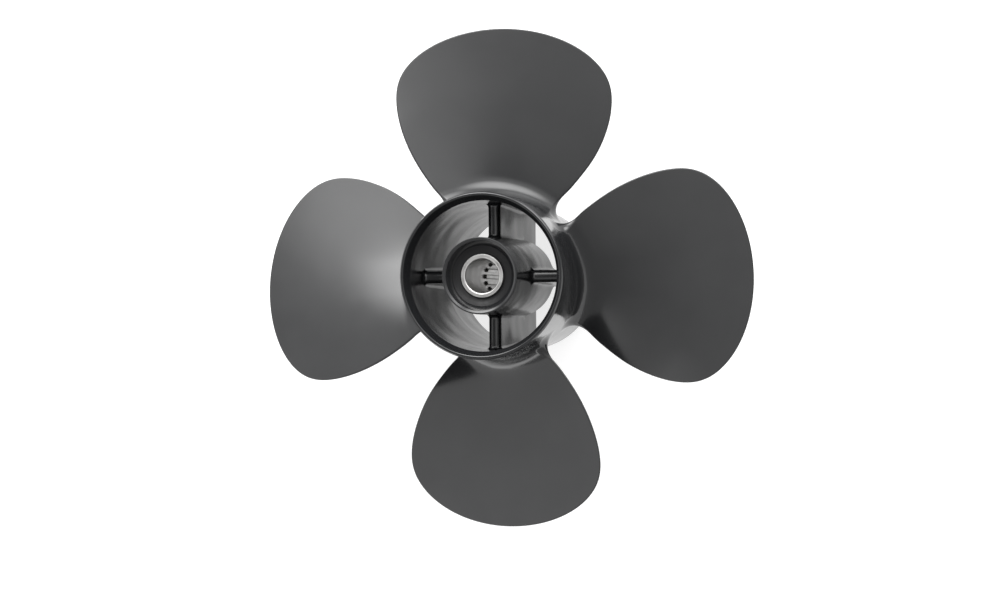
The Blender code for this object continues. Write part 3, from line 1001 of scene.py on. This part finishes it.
def make_sleeve(material):
    """A turned outline whose bore is pulled in where a tooth stands.

    The pull is the spline's height times share - steepness * cos(count * angle), clipped to 0..1. The
    bore is what lies deeper than a skin under the outer side, and its teeth end at the splines' top.
    """
    outline = dense(rounded_outline([
        (SLEEVE_RADIUS, sleeve_high.z, 0.5 * MM),
        (SLEEVE_RADIUS, sleeve_low.z, 0.5 * MM),
        (SLEEVE_BORE, sleeve_low.z, 0.5 * MM),
        (SLEEVE_BORE, SPLINE_TOP - SPLINE_END, SHARP),
        (SLEEVE_BORE + SHARP, SPLINE_TOP, SHARP),
        (SLEEVE_BORE, sleeve_high.z, 1.1 * MM),
    ]))
    angle = np.linspace(0, math.tau, SPLINE_COUNT * POINTS_PER_SPLINE, endpoint=False)[:, None]
    wave = np.cos(SPLINE_COUNT * (angle - SPLINE_TURN))
    tooth = np.clip(TOOTH_SHARE - TOOTH_STEEPNESS * wave, 0, 1)
    in_bore = outline[:, 0] < SLEEVE_RADIUS - SLEEVE_SKIN
    splined = in_bore & (outline[:, 1] < SPLINE_TOP - SPLINE_END / 2)
    radius = outline[None, :, 0] - SPLINE_HEIGHT * tooth * splined[None, :]
    height = np.broadcast_to(outline[None, :, 1], radius.shape)
    grid = np.stack([radius * np.cos(angle), radius * np.sin(angle), height], axis=-1)
    return skin("sleeve_skin", grid, material, close_rows=True, close_columns=True)


sleeve = make_sleeve(steel)
finish_piece(sleeve, "sleeve_metal", "splined_sleeve")

# %% [markdown]
# ## The glowing floor
#
# The propeller stands on the forward end of its barrel on a white floor. The floor itself glows, though it
# is no lamp: painted light that keeps it white inside the barrel and between the blades, where shade would
# fall. Its glow grows brighter towards one far corner, painted light that the blades' fillets mirror as a
# pale band.

# %% Floor
FLOOR_SIZE = 6.0
FLOOR_COLOUR = (0.40, 0.40, 0.40, 1.0)
FLOOR_ROUGHNESS = 0.8
FLOOR_GLOW = 0.80
FLOOR_GLOW_FAR = 2.8
FLOOR_GLOW_RISE = (0.20, 0.80)
FLOOR_GLOW_BEARING = math.radians(225)


def make_floor():
    """One large square at the level that the part stands on.

    Its glow fades from near to far along the dot product of the place and the bearing's direction.
    """
    material, nodes, links, shader, place = new_material("glowing_floor")
    shader.inputs["Base Color"].default_value = FLOOR_COLOUR
    shader.inputs["Roughness"].default_value = FLOOR_ROUGHNESS
    # The emission is painted light: the floor glows like a lamp, brightest towards one far corner.
    shader.inputs["Emission Color"].default_value = (1.0, 1.0, 1.0, 1.0)
    towards = nodes.new("ShaderNodeVectorMath")
    towards.operation = "DOT_PRODUCT"
    towards.inputs[1].default_value = (math.cos(FLOOR_GLOW_BEARING), math.sin(FLOOR_GLOW_BEARING), 0.0)
    links.new(place, towards.inputs[0])
    distance = towards.outputs["Value"]
    glow = ranged(nodes, links, distance, FLOOR_GLOW_RISE, FLOOR_GLOW, FLOOR_GLOW_FAR, smooth=True)
    links.new(glow, shader.inputs["Emission Strength"])
    half = FLOOR_SIZE / 2
    corners = [(-half, -half, 0), (half, -half, 0), (half, half, 0), (-half, half, 0)]
    mesh = bpy.data.meshes.new("floor")
    mesh.from_pydata(corners, [], [(0, 1, 2, 3)])
    mesh.materials.append(material)
    floor = bpy.data.objects.new("floor", mesh)
    bpy.context.scene.collection.objects.link(floor)


make_floor()
print("the floor is", FLOOR_SIZE, "m wide and glows from", FLOOR_GLOW, "to", FLOOR_GLOW_FAR)

# %% [markdown]
# ## Light
#
# Glossy dark paint shows hardly any colour of its own. What it shows is its surroundings, so the room
# is the light here. It is a pale studio that grows brighter with height. To one side, above the propeller
# in the picture, stand two bright soft sources side by side, with a weaker one higher up and a wide faint
# glow round them. Another faint one stands on the left. Overhead, where the camera hangs, it is darker,
# which is why flat faces such as the hub's lip and the webs look nearly black.
#
# Area lamps would do the same for one view, but their hard edges would show in the paint. A soft source
# is easiest to paint on the sky: its brightness depends on the angle between a direction and the middle
# of the source. The dot product of the two is the cosine of that angle. A source of negative strength
# takes light away, which makes the dark place overhead.

# %% Surroundings with soft sources
STUDIO_LOW = 0.67
STUDIO_HIGH = 3.05
STUDIO_RISE = (0.52, 1.60)
# Strength, bearing, height, and the two angles between which it fades.
SOURCES = (
    (7.4, 108, 24, 2, 27),
    (6.7, 58, 18, 2, 23),
    (2.7, 95, 50, 6, 23),
    (1.5, 82, 21, 40, 61),
    (0.75, 191, 24, 40, 49),
    (-1.3, 176, 76, 10, 23),
)


def soft_source(nodes, links, direction, strength, bearing, height, full, edge):
    """Full strength within one angle of the source's middle, and nothing beyond the other."""
    bearing, height, full, edge = np.radians((bearing, height, full, edge))
    aim = nodes.new("ShaderNodeVectorMath")
    aim.operation = "DOT_PRODUCT"
    flat = math.cos(height)
    aim.inputs[1].default_value = (flat * math.cos(bearing), flat * math.sin(bearing), math.sin(height))
    links.new(direction, aim.inputs[0])
    fade = (math.cos(edge), math.cos(full))
    return ranged(nodes, links, aim.outputs["Value"], fade, 0.0, strength, smooth=True)


def make_surroundings():
    """The studio's gradient, with the sources added to it one after another."""
    world = bpy.data.worlds.new("surroundings")
    world.use_nodes = True
    nodes = world.node_tree.nodes
    links = world.node_tree.links
    direction = nodes.new("ShaderNodeTexCoord").outputs["Generated"]
    parts = nodes.new("ShaderNodeSeparateXYZ")
    links.new(direction, parts.inputs["Vector"])
    total = ranged(nodes, links, parts.outputs["Z"], STUDIO_RISE, STUDIO_LOW, STUDIO_HIGH, smooth=True)
    for source in SOURCES:
        total = calculated(nodes, links, "ADD", total, soft_source(nodes, links, direction, *source))
    nodes["Background"].inputs["Color"].default_value = (1.0, 1.0, 1.0, 1.0)
    links.new(total, nodes["Background"].inputs["Strength"])
    bpy.context.scene.world = world


make_surroundings()
bpy.context.scene.view_settings.view_transform = "Standard"
print("the sky has", len(SOURCES), "soft sources")
